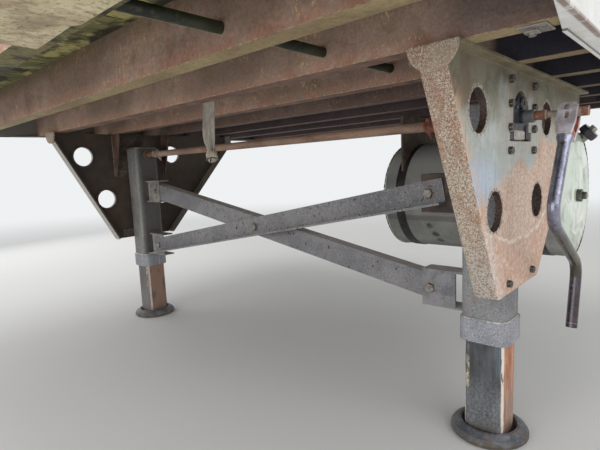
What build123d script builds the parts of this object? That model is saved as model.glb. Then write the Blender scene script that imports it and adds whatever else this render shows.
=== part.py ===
from build123d import *
import math
import os

os.makedirs("parts", exist_ok=True)

# Landing gear of a semi trailer with the bay of the underframe that carries it.
# Millimetres. +X forward, +Y to the crank side, +Z up.
# Heights below are above the ground; on export all is lowered so that
# the origin is on the deck, above the line of the two legs.

# Floor frame
beam_bottom = 1000.0
beam_depth = 127.0
beam_flange = 50.0
beam_flange_thick = 7.0
beam_web = 5.0
beam_pitch = 292.0
# the beam just ahead of the legs, and how many more there are each way
beam_near_x = 123.0
beams_ahead = 3
beams_behind = 5
board_thick = 35.0
board_gap = 4.0
board_edge_gap = 8.5
board_count = 9
frame_past_front = 81.0
frame_past_rear = 63.0
frame_front = beam_near_x + beams_ahead * beam_pitch + frame_past_front
frame_rear = beam_near_x - beams_behind * beam_pitch - frame_past_rear
half_width = 1219.0
rail_thick = 6.0
rail_lower_lip = 39.0
rail_upper_lip = 38.0
rail_bead = 4.0
# the lower lip runs out to nothing between these two places ahead of the legs
lip_full_x = 361.0
lip_end_x = 560.0
deck = beam_bottom + beam_depth + board_thick

# Conduit through the beam webs
conduit_y = 705.0
conduit_z = 1041.0
conduit_radius = 11.5

# Rear strips of the coupler plate
coupler_thick = 8.0
coupler_side_gap = 17.0
# x behind the first beam and y of the plate's rear edge, from its inner corner outwards
coupler_edge = [(-25.0, 562.0), (-21.0, 712.0), (-29.0, 726.0)]

# Legs
leg_from_side = 284.0
leg_y = half_width - leg_from_side
housing_half = 62.0
housing_wall = 5.0
housing_round = 26.0
housing_low = 290.0
housing_high = 920.0
collar_wall = 6.0
collar_high = 347.0
wiper_thick = 6.0
tube_half = 54.0
tube_wall = 5.0
tube_round = 18.0
tube_high = 640.0
slide_gap = 0.6
shoe_base = 12.0
shoe_inner = 75.0
# radius and height along the outside of the shoe, from the ground up
shoe_sides = [(99.0, 0.0), (105.0, 6.0), (105.0, 14.0), (99.0, 23.0), (84.0, 33.0), (79.0, 34.0)]

# Wing plates
plate_thick = 8.0
spacer_thick = 6.0
plate_in = leg_y + housing_half + spacer_thick
plate_out = plate_in + plate_thick
plate_flange = 58.0
top_flange = 26.0
bend_radius = 8.0
plate_front_x = 434.0
plate_front_kink = 965.0
plate_low = 440.0
plate_low_front = 155.0
plate_low_rear = -172.0
plate_rear_x = -640.0
plate_rear_kink = 950.0
hole_radius = 47.5
hole_lip = 6.0
hole_depth = 16.0
corner_round = 12.0
# x, height of each lightening hole
plate_holes = [(286.0, 884.0), (-223.0, 890.0), (185.0, 660.0), (-144.0, 660.0)]
mount_half = 115.0
# lowest and highest point of the packing between leg and wing plate
mount_heights = [(770.0, 985.0), (448.0, 488.0)]

# Drive
shaft_z = 884.0
shaft_radius = 11.5
shaft_seat = 3.0
running_gap = 0.3
clevis_out = 106.0
clevis_y = plate_out + clevis_out
clevis_half = 21.0
shaft_past = 20.0
shaft_neck_radius = 8.5
shaft_neck_length = 28.0
shaft_end = clevis_y + clevis_half + shaft_past
ear_thick = 9.0
ear_gap = 13.0
ear_top = 14.0
ear_foot_half = 16.0
ear_taper_from = 36.0
# share of the ear's half width and of its top's height at each point of the rounding
ear_round = [(1.0, 0.3), (0.83, 0.72), (0.5, 1.0)]
clevis_drop = 55.0
clevis_base = 14.0
ear_slot_half = 5.0
ear_slot_low = 25.0
ear_slot_high = 13.0
pin_radius = 6.0
handle_radius = 14.0
handle_flare = 18.0
handle_flare_radius = 19.0
handle_bend = 55.0
# x ahead of the shaft and height above it, along the middle of the handle
handle_points = [(0.0, -67.0), (0.0, -280.0), (-314.0, -276.0), (-362.0, -441.0)]
cross_radius = 15.0
cross_from_leg = 73.0
stub_radius = 12.5
stub_fit = 40.0
stub_gap = 5.0
boss_radius = 25.0
boss_depth = 11.0
coupling_radius = 17.5
coupling_length = 50.0
coupling_inset = 5.0
# gearbox case and the opening round it, with places measured from the shaft
case_half = 50.0
case_below = 48.0
case_foot_x = 18.0
case_foot_gap = 8.0
case_foot_low = 57.0
case_foot_high = 40.0
case_inset = 5.0
case_boss_radius = 16.0
case_boss_out = 30.0
gear_x = 6.0
arch_half = 62.0
arch_above = 64.0
slot_half = 84.0
slot_below = 61.0
slot_above = -38.0

# Braces
brace_bolt_in = 103.0
brace_bolt_y = leg_y - housing_half - brace_bolt_in
brace_high_z = 690.0
brace_low_z = 408.0
brace_height = 75.0
brace_lip = 50.0
brace_thick = 6.0
brace_past = 45.0
spacer_half = 30.0
bracket_x = 20.0
bracket_thick = 6.0
bracket_height = 112.0
bracket_depth = 60.0
bracket_length = 131.0
bracket_window = 27.0
brace_hole_radius = 4.0
# place along the rear brace and height on its face of each small hole
brace_holes = [(-140.0, 12.0), (-262.0, 10.0), (-276.0, 10.0)]

# Tank
tank_x = -900.0
tank_z = 615.0
tank_radius = 255.0
tank_from_side = 270.0
tank_length = 754.0
tank_out_y = half_width - tank_from_side
tank_in_y = tank_out_y - tank_length
strap_thick = 3.0
strap_width = 45.0
strap_inset = 82.0
saddle_thick = 10.0
saddle_half = 225.0
saddle_rise = 95.0
cap_over = 3.0
cap_skirt = 4.0
cap_rise = 12.0
cap_dip = 7.0
# distance in from the tank's edge of each fold of its pressed end
cap_folds = [33.0, 93.0, 105.0, 183.0, 195.0]
fitting_radius = 26.0
fitting_length = 18.0
nut_radius = 15.0
nut_length = 16.0
neck_angle = 122.3
neck_sunk = 30.0
neck_from_end = 60.0
neck_tilt = 50.0
neck_radius = 22.0
neck_length = 92.0
neck_root = 30.0
filler_radius = 36.0
filler_height = 30.0

# Webbing strap that hangs from a crossmember
web_thick = 4.0
web_width = 50.0
web_y = 203.0
web_low = 815.0


def box(x0, x1, y0, y1, z0, z1):
    middle = ((x0 + x1) / 2, (y0 + y1) / 2, (z0 + z1) / 2)
    return Pos(*middle) * Box(abs(x1 - x0), abs(y1 - y0), abs(z1 - z0))


def rod_y(x, y0, y1, z, radius):
    turned = Pos(x, (y0 + y1) / 2, z) * Rot(90, 0, 0)
    return turned * Cylinder(radius, abs(y1 - y0))


def rod_x(x0, x1, y, z, radius):
    turned = Pos((x0 + x1) / 2, y, z) * Rot(0, 90, 0)
    return turned * Cylinder(radius, abs(x1 - x0))


def slab_xz(points, y0, y1):
    # a flat outline of (x, height) points, thick from y0 to y1
    face = Plane.XZ * make_face(Polyline(*points, close=True))
    solid = extrude(face, amount=y1 - y0)
    low = solid.bounding_box().min.Y
    return Pos(0, y0 - low, 0) * solid


def slab_yz(points, x0, x1):
    # a flat outline of (y, height) points, thick from x0 to x1
    face = Plane.YZ * make_face(Polyline(*points, close=True))
    solid = extrude(face, amount=x1 - x0)
    low = solid.bounding_box().min.X
    return Pos(x0 - low, 0, 0) * solid


def slab_xy(points, z0, z1):
    # a flat outline of (x, y) points, thick from z0 to z1
    return Pos(0, 0, z0) * extrude(make_face(Polyline(*points, close=True)), amount=z1 - z0)


def square_tube(x, y, half, wall, rounding, z0, z1):
    outer = RectangleRounded(2 * half, 2 * half, rounding)
    inner = RectangleRounded(2 * (half - wall), 2 * (half - wall), max(rounding - wall, 2))
    return Pos(x, y, z0) * extrude(outer - inner, amount=z1 - z0)


def square_bar(x, y, half, rounding, z0, z1):
    return Pos(x, y, z0) * extrude(RectangleRounded(2 * half, 2 * half, rounding), amount=z1 - z0)


def other_side(solid):
    return mirror(solid, about=Plane.XZ)


def save(name, *solids):
    flat = []
    for solid in solids:
        flat.extend(solid.solids())
    moved = [Pos(0, 0, -deck) * solid for solid in flat]
    shape = moved[0] if len(moved) == 1 else Compound(children=moved)
    shape.label = name
    export_step(shape, "parts/" + name + ".step")


# Crossmembers, channels open to the rear that rest on the lower lips of the side rails
beam_xs = [beam_near_x + i * beam_pitch for i in range(beams_ahead, -beams_behind - 1, -1)]
beam_top = beam_bottom + beam_depth
beam_end = half_width - rail_thick
beams = []
for x in beam_xs:
    x1 = x + beam_web / 2
    x0 = x1 - beam_flange
    low = box(x0, x1, -beam_end, beam_end, beam_bottom, beam_bottom + beam_flange_thick)
    high = box(x0, x1, -beam_end, beam_end, beam_top - beam_flange_thick, beam_top)
    web = box(x - beam_web / 2, x + beam_web / 2, -beam_end, beam_end, beam_bottom, beam_top)
    beam = low + high + web
    beam -= rod_x(x - beam_web, x + beam_web, conduit_y, conduit_z, conduit_radius + running_gap)
    beams.append(beam)
save("crossmembers", *beams)

# Floor boards along the trailer
boards = []
span = 2 * (half_width - rail_upper_lip - board_edge_gap)
board_width = (span - (board_count - 1) * board_gap) / board_count
for i in range(board_count):
    y = -span / 2 + i * (board_width + board_gap)
    boards.append(box(frame_rear, frame_front, y, y + board_width, beam_top, deck))
save("floor_boards", *boards)

# Side rails, channels open to the inside
rail_bottom = beam_bottom - rail_thick
lip_y = half_width - rail_lower_lip
rail = box(frame_rear, frame_front, half_width - rail_thick, half_width, rail_bottom, deck)
rail += box(frame_rear, frame_front, half_width - rail_upper_lip, half_width, deck - rail_thick, deck)
rail_in = half_width - rail_thick
lip = [(frame_rear, lip_y), (lip_full_x, lip_y), (lip_end_x, rail_in), (frame_rear, rail_in)]
rail += slab_xy(lip, rail_bottom, beam_bottom)
rail += box(frame_rear, lip_full_x, lip_y, lip_y + 2 * rail_bead, rail_bottom - rail_bead, rail_bottom)
save("side_rail_left", rail)
save("side_rail_right", other_side(rail))

save("conduit", rod_x(frame_rear, frame_front, conduit_y, conduit_z, conduit_radius))

# Rear strips of the coupler plate under the first crossmember
coupler_side = half_width - rail_thick - coupler_side_gap
coupler_inner = (frame_front, coupler_edge[0][1])
coupler_rear = [(beam_xs[0] + x, y) for x, y in coupler_edge]
coupler_outer = [(coupler_rear[-1][0], coupler_side), (frame_front, coupler_side)]
coupler = slab_xy([coupler_inner] + coupler_rear + coupler_outer, beam_bottom - coupler_thick, beam_bottom)
save("coupler_plates", coupler, other_side(coupler))

# Wing plates, flanged inwards at both edges and outwards at the top
plate_top = beam_bottom
outline = [
    (plate_front_x, plate_top),
    (plate_front_x, plate_front_kink),
    (plate_low_front, plate_low),
    (plate_low_rear, plate_low),
    (plate_rear_x, plate_rear_kink),
    (plate_rear_x, plate_top),
]


def edge_strip(points, thick, side):
    # the strip just inside a run of outline points; side is +1 or -1
    inner = []
    for i, (x, z) in enumerate(points):
        ahead = points[min(i + 1, len(points) - 1)]
        behind = points[max(i - 1, 0)]
        a = math.atan2(z - behind[1], x - behind[0]) if i else None
        b = math.atan2(ahead[1] - z, ahead[0] - x) if i < len(points) - 1 else None
        a = b if a is None else a
        b = a if b is None else b
        middle = (a + b) / 2
        reach = thick / math.cos((b - a) / 2)
        inner.append((x - side * reach * math.sin(middle), z + side * reach * math.cos(middle)))
    return points + inner[::-1]


front_run = [outline[0], outline[1], outline[2]]
rear_run = [outline[3], outline[4], outline[5]]


def is_bend(edge):
    # an edge of the outer face that a flange turns in from
    ends = [edge @ 0, edge @ 1]
    on_face = all(abs(end.Y - plate_out) < 0.01 for end in ends)
    return on_face and abs(ends[0].Z - ends[1].Z) > plate_thick


def is_free_corner(edge):
    # the short edge through the sheet at the lower free corner of a flange
    ends = [edge @ 0, edge @ 1]
    free = all(abs(end.Y - plate_out + plate_flange) < 0.01 for end in ends)
    low = max(end.Z for end in ends) < plate_low + plate_thick
    return free and low and abs(edge.length - plate_thick) < 0.01


def wing_plate(opening):
    plate = slab_xz(outline, plate_in, plate_out)
    for run in (front_run, rear_run):
        strip = edge_strip(run, plate_thick, -1)
        plate += slab_xz(strip, plate_out - plate_flange, plate_out)
    plate = fillet(plate.edges().filter_by(is_bend), min(bend_radius, plate_thick))
    plate = fillet(plate.edges().filter_by(is_free_corner), corner_round)
    for x, z in plate_holes:
        plate += rod_y(x, plate_out - hole_depth, plate_out, z, hole_radius + hole_lip)
    for x, z in plate_holes:
        plate -= rod_y(x, plate_out - hole_depth - 1, plate_out + 1, z, hole_radius)
    if opening:
        plate -= gear_opening(plate_in - 1, plate_out + 1)
    shelf_low = plate_top - plate_thick
    shelf = box(plate_rear_x, plate_front_x, plate_out - 1, plate_out + top_flange, shelf_low, plate_top)
    return plate + shelf


# Opening for the gearbox: an arch over a wider slot
arch_top = shaft_z + arch_above
slot_low = shaft_z - slot_below
slot_high = shaft_z + slot_above


def gear_opening(y0, y1):
    arch = box(gear_x - arch_half, gear_x + arch_half, y0, y1, slot_low, arch_top - arch_half)
    arch += rod_y(gear_x, y0, y1, arch_top - arch_half, arch_half)
    return arch + box(gear_x - slot_half, gear_x + slot_half, y0, y1, slot_low, slot_high)


save("wing_plate_left", wing_plate(True))
save("wing_plate_right", other_side(wing_plate(False)))

# Half-round caps that close the tops of the front flanges
cap_radius = 52.0
cap_y = plate_out - 28.0
cap_thick = 7.0
cap = rod_x(plate_front_x, plate_front_x + cap_thick, cap_y, beam_bottom, cap_radius)
cap_ys = (cap_y - cap_radius, cap_y + cap_radius)
cap &= box(plate_front_x, plate_front_x + cap_thick, *cap_ys, beam_bottom - cap_radius, beam_bottom)
save("flange_caps", cap, other_side(cap))

# Tapered gussets between the wing plates and the beams
gusset_deep = 72.0
gusset_low = 775.0
gusset_edge = 25.0
gusset_foot = 10.0
gusset_thick = 8.0
gussets = []
for x in beam_xs[beams_ahead:beams_ahead + 2]:
    points = [(plate_in, beam_bottom), (plate_in - gusset_deep, beam_bottom)]
    points += [(plate_in - gusset_deep, beam_bottom - gusset_edge), (plate_in - gusset_foot, gusset_low)]
    points += [(plate_in, gusset_low)]
    gusset = slab_yz(points, x + beam_web / 2 - gusset_thick, x + beam_web / 2)
    for hole_x, hole_z in plate_holes:
        gusset -= rod_y(hole_x, plate_out - hole_depth - 1, plate_out, hole_z, hole_radius + hole_lip + 1)
    for low, high in mount_heights:
        gusset -= box(-mount_half - 1, mount_half + 1, leg_y, plate_in, low - 1, high + 1)
    gussets += [gusset, other_side(gusset)]
save("wing_gussets", *gussets)

# Legs: outer housings with caps, collars, mounting plates, inner tubes and shoes
housing = square_tube(0, leg_y, housing_half, housing_wall, housing_round, housing_low, housing_high)
save("leg_housing_left", housing)
save("leg_housing_right", other_side(housing))

housing_cap = square_bar(0, leg_y, housing_half, housing_round, housing_high, housing_high + 6)
save("housing_caps", housing_cap, other_side(housing_cap))

collar_half = housing_half + collar_wall
collar_round = housing_round + collar_wall
wiper_wall = collar_half - tube_half - slide_gap
wiper_low = housing_low - wiper_thick
collar = square_tube(0, leg_y, collar_half, collar_wall, collar_round, housing_low, collar_high)
collar += square_tube(0, leg_y, collar_half, wiper_wall, collar_round, wiper_low, housing_low)
save("housing_collars", collar, other_side(collar))

mount_in = leg_y + housing_half
upper, lower = [box(-mount_half, mount_half, mount_in, plate_in, low, high) for low, high in mount_heights]
mounts = [upper - gear_opening(mount_in - 1, plate_in + 1), lower]
mounts += [other_side(upper), other_side(lower)]
save("leg_mount_plates", *mounts)

tube = square_tube(0, leg_y, tube_half, tube_wall, tube_round, shoe_base, tube_high)
save("leg_tube_left", tube)
save("leg_tube_right", other_side(tube))

shoe_inside = [(shoe_inner, shoe_sides[-1][1]), (shoe_inner, shoe_base), (0, shoe_base), (0, 0)]
shoe_profile = Polyline(*shoe_sides, *shoe_inside, close=True)
shoe = Pos(0, leg_y, 0) * revolve(Plane.XZ * make_face(shoe_profile), Axis.Z)
save("sand_shoe_left", shoe)
save("sand_shoe_right", other_side(shoe))

# Gearbox in the opening on the crank side
case_out = plate_out - case_inset
case_in = leg_y + housing_half
gear_case = box(-case_half, case_half, case_in, case_out, shaft_z - case_below, shaft_z)
gear_case += rod_y(0, case_in, case_out, shaft_z, case_half)
case_foot = (case_foot_x, gear_x + slot_half - case_foot_gap)
gear_case += box(*case_foot, case_in, case_out, shaft_z - case_foot_low, shaft_z - case_foot_high)
boss_out = plate_out + case_boss_out
gear_case += rod_y(0, case_out - 1, boss_out, shaft_z, case_boss_radius)
gear_case -= rod_y(0, plate_in, boss_out + 1, shaft_z, shaft_radius + running_gap)
save("gearbox_case", gear_case)

# Bearing bosses on the inner faces of both legs
boss_in = leg_y - housing_half - boss_depth
boss = rod_y(0, boss_in, leg_y - housing_half, shaft_z, boss_radius)
boss -= rod_y(0, boss_in - 1, leg_y - housing_half - 1, shaft_z, stub_radius + running_gap)
save("shaft_bosses", boss, other_side(boss))

# Crank: shaft, then a clevis that folds outwards on a pin, with a bent handle
shaft_neck_end = clevis_y - clevis_half - 1
shaft_neck_start = shaft_neck_end - shaft_neck_length
shaft = rod_y(0, plate_in + shaft_seat, shaft_neck_start, shaft_z, shaft_radius)
shaft += rod_y(0, shaft_neck_start, shaft_neck_end, shaft_z, shaft_neck_radius)
shaft += rod_y(0, shaft_neck_end, shaft_end, shaft_z, shaft_radius)
ear_out = ear_gap + ear_thick
shaft -= rod_x(-ear_out, ear_out, clevis_y, shaft_z, pin_radius)
pin = rod_x(-ear_out - 6, ear_out + 6, clevis_y, shaft_z, pin_radius)

pin_fit = pin_radius + running_gap
low_z = shaft_z - clevis_drop - clevis_base
# y from the middle of the ear and height above the shaft, up one side to the rounded top
ear_side = [(ear_foot_half, low_z - shaft_z), (clevis_half, -ear_taper_from)]
ear_side += [(clevis_half * part, ear_top * rise) for part, rise in ear_round]
ear = [(clevis_y + y, shaft_z + z) for y, z in ear_side]
ear += [(clevis_y - y, shaft_z + z) for y, z in reversed(ear_side)]
clevis = slab_yz(ear, -ear_out, ear_out)
clevis_ys = (clevis_y - clevis_half, clevis_y + clevis_half)
clevis -= box(-ear_gap, ear_gap, *clevis_ys, low_z + clevis_base, shaft_z + ear_top)
clevis -= rod_x(-ear_out, ear_out, clevis_y, shaft_z, pin_fit)
# slots in the ears below the pin
slot_reach = ear_out + 1
slot_ends = (shaft_z - ear_slot_low, shaft_z - ear_slot_high)
clevis -= box(-slot_reach, slot_reach, clevis_y - ear_slot_half, clevis_y + ear_slot_half, *slot_ends)
for end_z in slot_ends:
    clevis -= rod_x(-slot_reach, slot_reach, clevis_y, end_z, ear_slot_half)

path = FilletPolyline(*[(x, clevis_y, shaft_z + z) for x, z in handle_points], radius=handle_bend)
start = Plane(origin=path @ 0, z_dir=path % 0)
handle = sweep(start * Circle(handle_radius), path=path)
handle += Pos(0, clevis_y, low_z - handle_flare / 2) * Cone(handle_radius, handle_flare_radius, handle_flare)
handle -= box(-ear_out, ear_out, *clevis_ys, low_z, shaft_z)

# the crank hangs with its centre of mass below the shaft
weights = [solid.volume for solid in (clevis, handle)]
centres = [solid.center(CenterOf.MASS) for solid in (clevis, handle)]
mass_x = sum(weight * centre.X for weight, centre in zip(weights, centres))
mass_z = sum(weight * (centre.Z - shaft_z) for weight, centre in zip(weights, centres))
crank_lean = math.degrees(math.atan2(-mass_x, -mass_z))
hung = Pos(0, 0, shaft_z) * Rot(0, -crank_lean, 0) * Pos(0, 0, -shaft_z)
save("output_shaft", hung * shaft)
save("clevis_pin", hung * pin)
save("crank_clevis", hung * clevis)
save("crank_handle", hung * handle)

# Cross shaft between the legs with a coupling at each end
cross_end = leg_y - housing_half - cross_from_leg
cross = rod_y(0, -cross_end, cross_end, shaft_z, cross_radius)
cross -= rod_y(0, cross_end - stub_fit, cross_end + 1, shaft_z, stub_radius)
cross -= rod_y(0, -cross_end - 1, -cross_end + stub_fit, shaft_z, stub_radius)
save("cross_shaft_tube", cross)

stub = rod_y(0, cross_end - stub_fit, leg_y - housing_half - stub_gap, shaft_z, stub_radius)
save("shaft_stubs", stub, other_side(stub))

sleeve_end = cross_end - coupling_inset
sleeve = rod_y(0, sleeve_end - coupling_length, sleeve_end, shaft_z, coupling_radius)
sleeve -= rod_y(0, 0, cross_end, shaft_z, cross_radius)
save("shaft_couplings", sleeve, other_side(sleeve))

# Braces crossing between the legs, angle sections bolted to channel brackets
slope = math.atan2(brace_high_z - brace_low_z, 2 * brace_bolt_y)
run = 2 * brace_bolt_y / math.cos(slope) + 2 * brace_past
brace_mid_z = (brace_high_z + brace_low_z) / 2
half_run = run / 2
half_height = brace_height / 2
front_x = bracket_x + bracket_thick
front_face = box(front_x, front_x + brace_thick, -half_run, half_run, -half_height, half_height)
front_lip = box(front_x, front_x + brace_lip, -half_run, half_run, -half_height, -half_height + brace_thick)
front_brace = Pos(0, 0, brace_mid_z) * Rot(math.degrees(slope), 0, 0) * (front_face + front_lip)
save("brace_front", front_brace)
rear_face = box(bracket_x - brace_thick, bracket_x, -half_run, half_run, -half_height, half_height)
rear_lip = box(bracket_x - brace_lip, bracket_x, -half_run, half_run, half_height - brace_thick, half_height)
for y, z in brace_holes:
    rear_face -= rod_x(bracket_x - brace_thick - 1, bracket_x + 1, y, z, brace_hole_radius)
rear_brace = Pos(0, 0, brace_mid_z) * Rot(-math.degrees(slope), 0, 0) * (rear_face + rear_lip)
save("brace_rear", rear_brace)

brackets = []
for z in (brace_high_z, brace_low_z):
    low = z - bracket_height / 2
    high = z + bracket_height / 2
    leg_face = leg_y - housing_half
    bracket_end_y = leg_face - bracket_length
    web = box(bracket_x, bracket_x + bracket_thick, bracket_end_y, leg_face - bracket_window, low, high)
    web += box(front_x - bracket_depth, front_x, bracket_end_y, leg_face, high - bracket_thick, high)
    web += box(front_x - bracket_depth, front_x, bracket_end_y, leg_face, low, low + bracket_thick)
    brackets.append(web)
save("brace_brackets_left", *brackets)
save("brace_brackets_right", *[other_side(b) for b in brackets])
spacer_heights = (brace_mid_z - spacer_half, brace_mid_z + spacer_half)
save("brace_spacer", box(bracket_x, front_x, -spacer_half, spacer_half, *spacer_heights))

# Fuel tank across the trailer behind the gear
tank = rod_y(tank_x, tank_in_y, tank_out_y, tank_z, tank_radius)
save("tank_body", tank)

# radius and height above the tank's end of each point of the pressed end, from the middle outwards
fold_radii = [tank_radius - fold for fold in reversed(cap_folds)]
fold_heights = [cap_rise, cap_dip, cap_dip, cap_rise, cap_rise]
cap_edge = tank_radius + cap_over
cap_profile = [(0, -cap_skirt), (0, cap_rise)]
cap_profile += list(zip(fold_radii, fold_heights))
cap_profile += [(cap_edge, 0), (cap_edge, -cap_skirt)]
end_cap = revolve(Plane.XZ * make_face(Polyline(*cap_profile, close=True)), Axis.Z)
end_cap -= Pos(0, 0, -cap_skirt) * Cylinder(tank_radius, 2 * cap_skirt)
outer_cap = Pos(tank_x, tank_out_y, tank_z) * Rot(-90, 0, 0) * end_cap
inner_cap = Pos(tank_x, tank_in_y, tank_z) * Rot(90, 0, 0) * end_cap
save("tank_end_caps", outer_cap, inner_cap)

fitting_y = tank_out_y + cap_rise
nut_y = fitting_y + fitting_length
fitting = rod_y(tank_x, fitting_y, nut_y, tank_z, fitting_radius)
fitting += rod_y(tank_x, nut_y, nut_y + nut_length, tank_z, nut_radius)
save("tank_end_fitting", fitting)

neck_reach = tank_radius - neck_sunk
neck_x = tank_x + neck_reach * math.cos(math.radians(neck_angle))
neck_z = tank_z + neck_reach * math.sin(math.radians(neck_angle))
neck_turn = Pos(neck_x, tank_out_y - neck_from_end, neck_z) * Rot(-neck_tilt, 0, 0)
neck_middle = Pos(0, 0, (neck_length - neck_root) / 2)
neck = neck_turn * neck_middle * Cylinder(neck_radius, neck_length + neck_root)
neck -= rod_y(tank_x, tank_in_y, tank_out_y, tank_z, tank_radius)
neck -= outer_cap
neck = neck.solids().sort_by(Axis.Z)[-1]
save("tank_filler_neck", neck)
filler = Pos(0, 0, neck_length + filler_height / 2) * Cylinder(filler_radius, filler_height)
save("tank_filler_cap", neck_turn * filler)

straps = []
saddles = []
for y in (tank_out_y - strap_inset, tank_in_y + strap_inset):
    ring = rod_y(tank_x, y - strap_width / 2, y + strap_width / 2, tank_z, tank_radius + strap_thick)
    ring -= rod_y(tank_x, y - strap_width, y + strap_width, tank_z, tank_radius)
    straps.append(ring)
    saddle_ys = (y - saddle_thick / 2, y + saddle_thick / 2)
    saddle = box(tank_x - saddle_half, tank_x + saddle_half, *saddle_ys, tank_z + saddle_rise, beam_bottom)
    saddle -= rod_y(tank_x, y - strap_width, y + strap_width, tank_z, tank_radius + strap_thick)
    saddles.append(saddle)
save("tank_straps", *straps)
save("tank_saddles", *saddles)

# Webbing strap that hangs from the rear edge of a crossmember
web_x = beam_xs[beams_ahead - 1] + beam_web / 2 - beam_flange
strap_box = (web_x - web_thick / 2, web_x + web_thick / 2, web_y - web_width / 2, web_y + web_width / 2)
save("hanging_strap", box(*strap_box, web_low, beam_bottom))
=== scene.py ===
import random
from functools import reduce
from math import cos, pi, radians, sin

import bmesh
import bpy
from mathutils import Matrix, Vector, noise


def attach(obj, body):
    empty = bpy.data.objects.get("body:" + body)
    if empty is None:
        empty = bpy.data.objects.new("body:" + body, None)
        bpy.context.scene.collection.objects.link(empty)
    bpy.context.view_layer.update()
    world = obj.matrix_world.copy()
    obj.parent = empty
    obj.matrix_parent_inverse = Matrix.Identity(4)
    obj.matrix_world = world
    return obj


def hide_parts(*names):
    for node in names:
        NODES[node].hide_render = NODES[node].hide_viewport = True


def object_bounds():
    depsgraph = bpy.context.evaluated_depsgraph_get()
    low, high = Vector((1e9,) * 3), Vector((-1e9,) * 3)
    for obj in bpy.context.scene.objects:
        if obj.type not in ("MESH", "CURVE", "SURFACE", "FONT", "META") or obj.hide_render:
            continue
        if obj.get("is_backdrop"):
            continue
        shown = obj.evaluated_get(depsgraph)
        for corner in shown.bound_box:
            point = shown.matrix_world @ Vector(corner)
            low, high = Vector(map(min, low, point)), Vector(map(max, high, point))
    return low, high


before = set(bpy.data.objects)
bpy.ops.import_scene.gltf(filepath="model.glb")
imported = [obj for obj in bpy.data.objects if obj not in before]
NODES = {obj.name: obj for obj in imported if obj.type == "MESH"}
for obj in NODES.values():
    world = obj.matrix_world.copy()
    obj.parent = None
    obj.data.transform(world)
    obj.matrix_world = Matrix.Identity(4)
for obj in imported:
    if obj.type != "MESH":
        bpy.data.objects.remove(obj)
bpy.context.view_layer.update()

random.seed(41)

# Places and sizes taken from the CAD, in metres
FLOOR_Z = -1.162
HALF_WIDTH = 1.219
BEAM_PITCH = 0.292
BOARD_EDGE = HALF_WIDTH - 0.038 - 0.0085
BOARD_GAP = 0.004
BOARD_COUNT = 9
PLATE_OUT = 1.011
SHAFT_Z = -0.278
LEG_Y = 0.935
COLLAR_TOP = -0.8135
HOUSING_TOP = -0.2415
BRACE_LOW, BRACE_MID, BRACE_HIGH = -0.754, -0.613, -0.472
BRACE_Y = 0.770
TANK_X, TANK_Z, TANK_RADIUS = -0.9, -0.547, 0.2565
TANK_ENDS = (0.953, 0.191)
NECK_FOOT = Vector((-1.0202, 0.889, -0.3568))
NECK_AXIS = Vector((0, sin(radians(50)), cos(radians(50))))
# how far the crank and its clevis lean at rest
LEAN = radians(29.97)

# x and z of the lightening holes
HOLES = [(0.286, -0.278), (-0.223, -0.272), (0.185, -0.502), (-0.144, -0.502)]
# x, y, z and radius of the tank's dents
TANK_DENTS = [(-0.680, 0.411, -0.676, 0.020), (-0.712, 0.426, -0.720, 0.026), (-0.748, 0.434, -0.751, 0.024),
              (-0.655, 0.62, -0.62, 0.02), (-0.655, 0.72, -0.575, 0.018)]

# The pale backdrop, as a linear colour
PALE = (0.86, 0.88, 0.89, 1.0)


def srgb(colour):
    """Red, green and blue up to 255 as a linear colour."""
    parts = [part / 255 for part in colour]
    return (*(p / 12.92 if p <= 0.04045 else ((p + 0.055) / 1.055) ** 2.4 for p in parts), 1.0)


class Nodes:
    """A node tree. Most calls add nodes and return the socket that carries the result."""

    def __init__(self, owner):
        owner.use_nodes = True
        self.tree = owner.node_tree
        self.tree.nodes.clear()

    def put(self, value, socket):
        """Links a socket or sets a value. A colour has three parts up to 255, or four linear ones."""
        if isinstance(value, bpy.types.NodeSocket):
            self.tree.links.new(value, socket)
        elif socket.type == "RGBA" and len(value) == 3:
            socket.default_value = srgb(value)
        else:
            socket.default_value = value

    def node(self, kind, inputs, **settings):
        """A node with its settings, and its inputs by name or number."""
        made = self.tree.nodes.new("ShaderNode" + kind)
        for key, value in settings.items():
            setattr(made, key, value)
        for key, value in inputs.items():
            self.put(value, made.inputs[key])
        return made

    def math(self, operation, a, b=0.0, clamp=False):
        return self.node("Math", {0: a, 1: b}, operation=operation, use_clamp=clamp).outputs[0]

    def ramp(self, value, low, high):
        """0 at low, 1 at high, smooth between; high may be the smaller number."""
        ends = {"Value": value, "From Min": low, "From Max": high}
        return self.node("MapRange", ends, interpolation_type="SMOOTHSTEP").outputs["Result"]

    def times(self, *values):
        """The product of numbers, sockets and ramps; a ramp is written as (value, low, high)."""
        parts = [self.ramp(*value) if isinstance(value, tuple) else value for value in values]
        return reduce(lambda a, b: self.math("MULTIPLY", a, b), parts)

    def plus(self, *values):
        """The sum of numbers, sockets and products; a product is written as a tuple."""
        parts = [self.times(*value) if isinstance(value, tuple) else value for value in values]
        return reduce(lambda a, b: self.math("ADD", a, b), parts)

    def most(self, *values):
        return reduce(lambda a, b: self.math("MAXIMUM", a, b), values)

    def less(self, a, b):
        return self.math("SUBTRACT", a, b)

    def flip(self, a):
        return self.math("SUBTRACT", 1.0, a, clamp=True)

    def size(self, a):
        return self.math("ABSOLUTE", a)

    def length(self, a, b):
        return self.math("SQRT", self.plus((a, a), (b, b)))


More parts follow.
